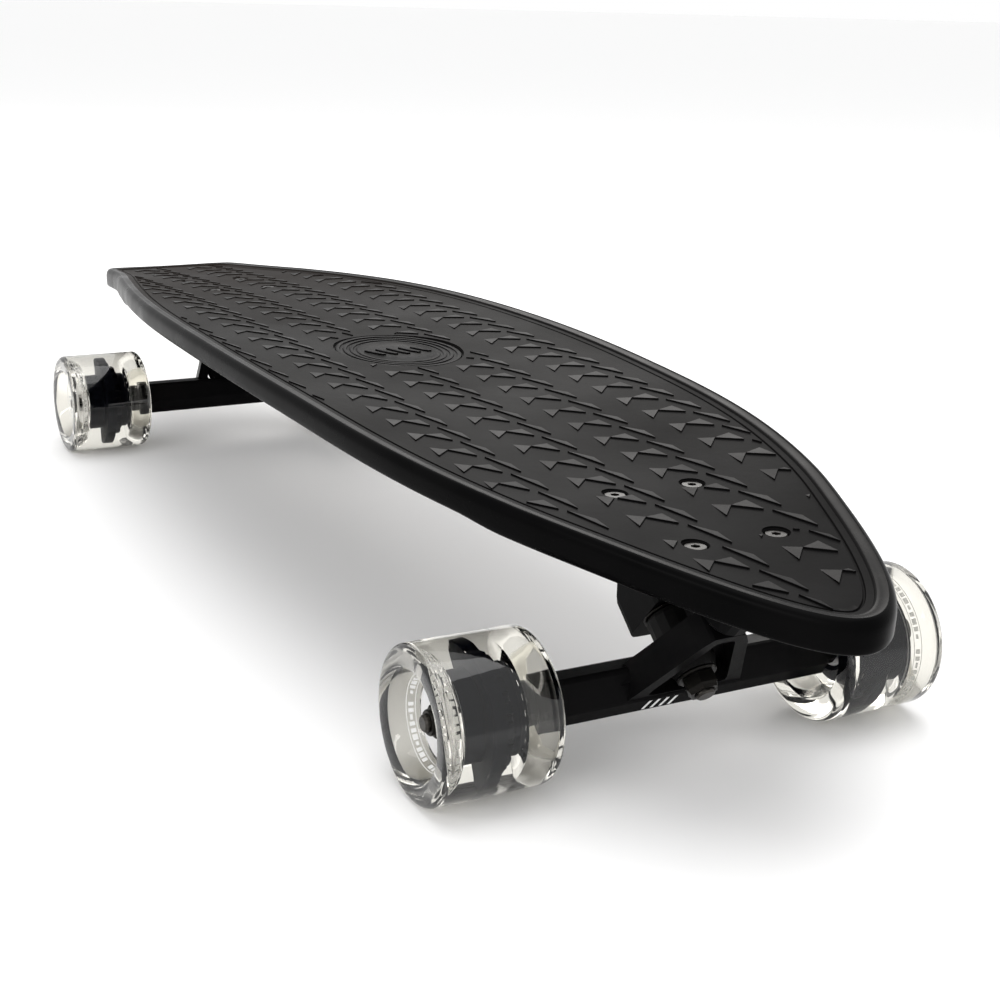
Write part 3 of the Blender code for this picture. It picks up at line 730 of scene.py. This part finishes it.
# ------------------------------------------------------------------ wheels
def wheel(tag, word, ax, side):
    W = Vector((ax, side * WHEEL_Y, AXLE_Z))
    out = Vector((0, side, 0))
    name = "%s_%s" % (tag, word)
    body = "wheel_%s_body" % name
    h = WHEEL_W / 2
    lip = 3.6
    prof = []
    for k in range(9):
        a = math.pi / 2 * k / 8
        prof.append((WHEEL_R - lip + lip * math.cos(a), h - lip + lip * math.sin(a)))
    prof += [(29.5, h - 0.1), (26.2, h - 0.35), (24.6, h - 0.9), (23.4, h - 2.2), (21.6, 20.6), (19.8, 16.0), (18.9, 14.7), (17.8, 14.2), (12.85, 13.3)]
    inner = [(12.85, 2.9), (14.5, 2.75), (19.9, 1.9), (19.9, -4.35), (14.6, -4.7), (14.4, -8.4), (12.85, -9.1)]
    back = [(12.85, -13.3), (17.8, -14.2), (18.9, -14.7), (19.8, -16.0), (21.6, -20.6), (23.4, -h + 2.2), (24.6, -h + 0.9), (26.2, -h + 0.35), (29.5, -h + 0.1)]
    rev = []
    for k in range(9):
        a = math.pi / 2 * k / 8
        rev.append((WHEEL_R - lip + lip * math.sin(a), -h + lip - lip * math.cos(a)))
    tyre = turned("clear_tyre_" + name, prof + inner + back + rev, W, out, [M_TYRE], seg=128, smooth=28)
    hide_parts("tyre_" + name)
    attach(tyre, body)

    # core: hub, wide flange with scallops, a shorter toothed collar beside it
    teeth = 14

    def warp(kk, a, q, hh):
        if kk in (3, 4, 5):                        # flange rim, lightly scalloped
            return q - 0.9 * (0.5 + 0.5 * math.cos(a * 7)) ** 6, hh
        if kk in (6, 7, 8, 9):                     # toothed collar
            s = math.cos(a * teeth)
            return q - (1.6 if s < -0.2 else 0.0), hh
        return q, hh

    core_prof = [(11.1, 13.25), (13.0, 13.25), (13.0, 3.1), (20.4, 2.2), (21.0, 1.4), (21.0, -4.5), (16.4, -4.9), (16.4, -8.2), (16.1, -8.8), (13.6, -9.0),
                 (13.0, -9.6), (13.0, -13.25), (11.1, -13.25), (11.1, -4.8), (8.6, -4.8), (8.6, 4.8), (11.1, 4.8)]
    core = turned("black_core_" + name, core_prof, W, out, [M_CORE], seg=168, smooth=25, warp=warp)
    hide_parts("wheel_core_" + name)
    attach(core, body)

    # bearings with rings, recessed shields and a rounded edge
    for k, sgn in (("outer", 1), ("inner", -1)):
        bp = [(4.35, 5.1), (10.8, 5.1), (10.9, 5.4), (10.9, 11.7), (10.5, 12.1), (9.6, 12.1), (9.3, 11.8), (9.1, 11.55), (6.9, 11.45), (6.6, 11.8), (6.4, 12.1), (4.7, 12.1), (4.35, 11.8)]
        b = turned("ball_bearing_%s_%s" % (name, k), bp, W, out * sgn, [M_SHIELD], seg=72, smooth=28)
        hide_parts("bearing_%s_%s" % (name, k))
        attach(b, body)

    # light grey face ring inside the recess, a painted sheen standing in for light on the clear urethane, and the
    # printed band of plain marks around it
    face = turned("core_face_" + name, [(10.95, 13.3), (17.6, 14.1), (17.9, 14.5), (17.6, 14.75), (13.4, 14.0), (12.6, 13.75), (10.95, 13.7)], W, out, [M_FACE_SHEEN], seg=96, smooth=30)
    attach(face, body)
    marks = []
    e1, e2, d = frame_along(out)

    def cone_r(hh):
        return 19.8 + (21.6 - 19.8) * (hh - 16.0) / (20.6 - 16.0)

    for h0, h1 in ((16.2, 16.45), (19.9, 20.15)):
        marks.append(turned("m", [(cone_r(h0) + 0.15, h0), (cone_r(h0) - 0.07, h0), (cone_r(h1) - 0.07, h1), (cone_r(h1) + 0.15, h1)], W, out, [M_PRINT], seg=96))
    v, f = [], []
    count = 44
    for i in range(count):
        if i % 11 == 10:
            continue
        a0 = 2 * math.pi * i / count
        da = 2 * math.pi / count * (0.30 if i % 3 else 0.42)
        lo, hi = (17.1, 19.2) if i % 4 else (17.6, 18.7)
        o = len(v)
        for hh in (lo, hi):
            for aa in (a0 - da, a0 + da):
                for dr in (0.12, -0.08):
                    r = cone_r(hh) + dr
                    v.append(W + d * hh + e1 * (r * math.cos(aa)) + e2 * (r * math.sin(aa)))
        for q in ([0, 2, 3, 1], [4, 5, 7, 6], [0, 1, 5, 4], [2, 6, 7, 3], [0, 4, 6, 2], [1, 3, 7, 5]):
            f.append([o + z for z in q])
    marks.append(obj_from("m", v, f, [M_PRINT]))
    band = join("printed_marks_" + name, marks)
    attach(band, body)

    # axle nut, hex with a nylon collar, riding on the hanger
    nut = turned("hex_nut_" + name, [(4.1, 12.9), (6.9, 12.9), (7.25, 13.3), (7.25, 17.4), (6.9, 18.0), (5.9, 18.05), (5.7, 19.6), (5.3, 20.1), (4.1, 20.1)],
                 W, out, [M_BLACKSTEEL], seg=72, smooth=28, warp=lambda kk, a, q, hh: ((q * hexagon(a) if kk in (1, 2, 3, 4) else q), hh))
    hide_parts("axle_nut_" + name)
    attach(nut, "hanger_%s_body" % tag)


for tag, ax in (("front", AXLE_FRONT_X), ("rear", AXLE_REAR_X)):
    for word, side in (("left", 1), ("right", -1)):
        wheel(tag, word, ax, side)

# ------------------------------------------------------------------ trucks: CAD pieces with worked edges and finishes
LOOKS = (("hanger_", M_PAINT, 0.7), ("baseplate_", M_PAINT, 0.6), ("kingpin_nut", M_BLACKSTEEL, 0.3), ("kingpin_", M_DARKSTEEL, 0.2), ("axle_nut", M_BLACKSTEEL, 0),
         ("axle_", M_DARKSTEEL, 0.0), ("lock_nut", M_STEEL, 0.2), ("deck_bolt", M_BLACKSTEEL, 0), ("upper_washer", M_BLACKSTEEL, 0.2), ("lower_washer", M_BLACKSTEEL, 0.2),
         ("deck_side_bushing", M_BUSH, 0.4), ("road_side_bushing", M_BUSH, 0.4), ("pivot_cup", M_CUP, 0.2), ("bearing_", M_BEARING, 0), ("tyre_", M_TYRE, 0),
         ("wheel_core", M_CORE, 0), ("deck", M_DECK, 0))
for name, ob in NODES.items():
    for key, mat, bevel in LOOKS:
        if name.startswith(key):
            if not ob.material_slots:
                ob.data.materials.append(mat)
            for sl in ob.material_slots:
                sl.material = mat
            if bevel:
                m = ob.modifiers.new("edge", 'BEVEL')
                m.width = bevel * MM
                m.segments = 2
                m.limit_method = 'ANGLE'
                m.angle_limit = math.radians(32)
                m.harden_normals = True
            break


def truck_detail(tag, ax, s):
    """plain slanted bars on the hanger's lower front face."""
    e_x, e_y, e_z = Vector((s, 0, 0)), Vector((0, s, 0)), Vector((0, 0, 1))
    O = Vector((ax, 0, AXLE_Z))
    # lower front face runs from (7, 24) to (11, 31) in (x, z)
    p0 = O + e_x * 7.6 + e_z * (25.1 - AXLE_Z)
    p1 = O + e_x * 10.3 + e_z * (29.8 - AXLE_Z)
    up = (p1 - p0)
    nrm = Vector((up.z, 0, -up.x)).normalized()
    if nrm.dot(e_x) < 0:
        nrm = -nrm
    v, f = [], []
    for k in range(4):
        y0 = -21.0 + 4.6 * k
        w = 1.5
        o = len(v)
        for t, sh in ((0.0, 0.0), (1.0, 2.6)):
            for yy in (y0 + sh, y0 + sh + w):
                for dn in (-0.2, 0.12):
                    v.append(p0 + up * t + e_y * yy + nrm * dn)
        for q in ([0, 2, 3, 1], [4, 5, 7, 6], [0, 1, 5, 4], [2, 6, 7, 3], [0, 4, 6, 2], [1, 3, 7, 5]):
            f.append([o + z for z in q])
    ob = obj_from("hanger_bars_" + tag, v, f, [M_PRINT])
    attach(ob, "hanger_%s_body" % tag)


truck_detail("front", AXLE_FRONT_X, 1)

# ------------------------------------------------------------------ stage, light, camera
me = bpy.data.meshes.new("floor")
nseg = 96
fl_v, fl_f = [], []
radii = [(30.0, 0.0), (60.0, 0.0)]
for r, z in radii:
    for i in range(nseg):
        a = 2 * math.pi * i / nseg
        fl_v.append((r * math.cos(a), r * math.sin(a), z))
fl_f.append(list(range(nseg)))
for k in range(len(radii) - 1):
    for i in range(nseg):
        j = (i + 1) % nseg
        fl_f.append([(k + 1) * nseg + i, (k + 1) * nseg + j, k * nseg + j, k * nseg + i])
me.from_pydata(fl_v, [], fl_f)
me.update()
for p in me.polygons:
    p.use_smooth = p.index > 0
fm = bpy.data.materials.new("floor_paper")
fm.use_nodes = True
fb = fm.node_tree.nodes["Principled BSDF"]
fb.inputs["Base Color"].default_value = (0.95, 0.95, 0.95, 1)
fb.inputs["Roughness"].default_value = 0.55
fb.inputs["Specular IOR Level"].default_value = 0.25
me.materials.append(fm)
floor = bpy.data.objects.new("floor", me)
scene.collection.objects.link(floor)

world = bpy.data.worlds.new("studio")
scene.world = world
world.use_nodes = True
world.node_tree.nodes["Background"].inputs[0].default_value = (1.0, 1.0, 1.0, 1)
world.node_tree.nodes["Background"].inputs[1].default_value = 1.0


def area(name, loc, target, size, size_y, energy, color=(1, 1, 1)):
    l = bpy.data.lights.new(name, 'AREA')
    l.shape = 'RECTANGLE'
    l.size, l.size_y = size, size_y
    l.energy = energy
    l.color = color
    o = bpy.data.objects.new(name, l)
    o.location = loc
    o.rotation_euler = (Vector(target) - Vector(loc)).to_track_quat('-Z', 'Y').to_euler()
    scene.collection.objects.link(o)
    return o


area("key_top", (0.3, 0.2, 2.9), (0.1, 0, 0), 2.6, 2.0, 34)
area("strip_near", (1.0, -2.0, 1.5), (0.1, -0.1, 0.1), 2.2, 0.35, 16, (1.0, 0.98, 0.97))
area("fill_back", (-2.4, 1.6, 1.6), (0, 0, 0.1), 1.6, 1.2, 26, (1.0, 0.97, 0.94))

cam_data = bpy.data.cameras.new("camera")
cam = bpy.data.objects.new("camera", cam_data)
scene.collection.objects.link(cam)
right = Vector((0.46366, 0.88570, 0.02407)).normalized()
fwd = Vector((-0.84786, 0.45142, -0.27814))
fwd = (fwd - right * fwd.dot(right)).normalized()
upv = right.cross(fwd)
M = Matrix(((right.x, upv.x, -fwd.x, 0.562614 + 0.327), (right.y, upv.y, -fwd.y, -0.393722), (right.z, upv.z, -fwd.z, 0.326642), (0, 0, 0, 1)))
cam.matrix_world = M
cam_data.sensor_width = 36.0
cam_data.lens = 58.435
cam_data.shift_x = 0.0064
cam_data.shift_y = -0.0296
cam_data.clip_start = 0.01
cam_data.clip_end = 200.0
scene.camera = cam
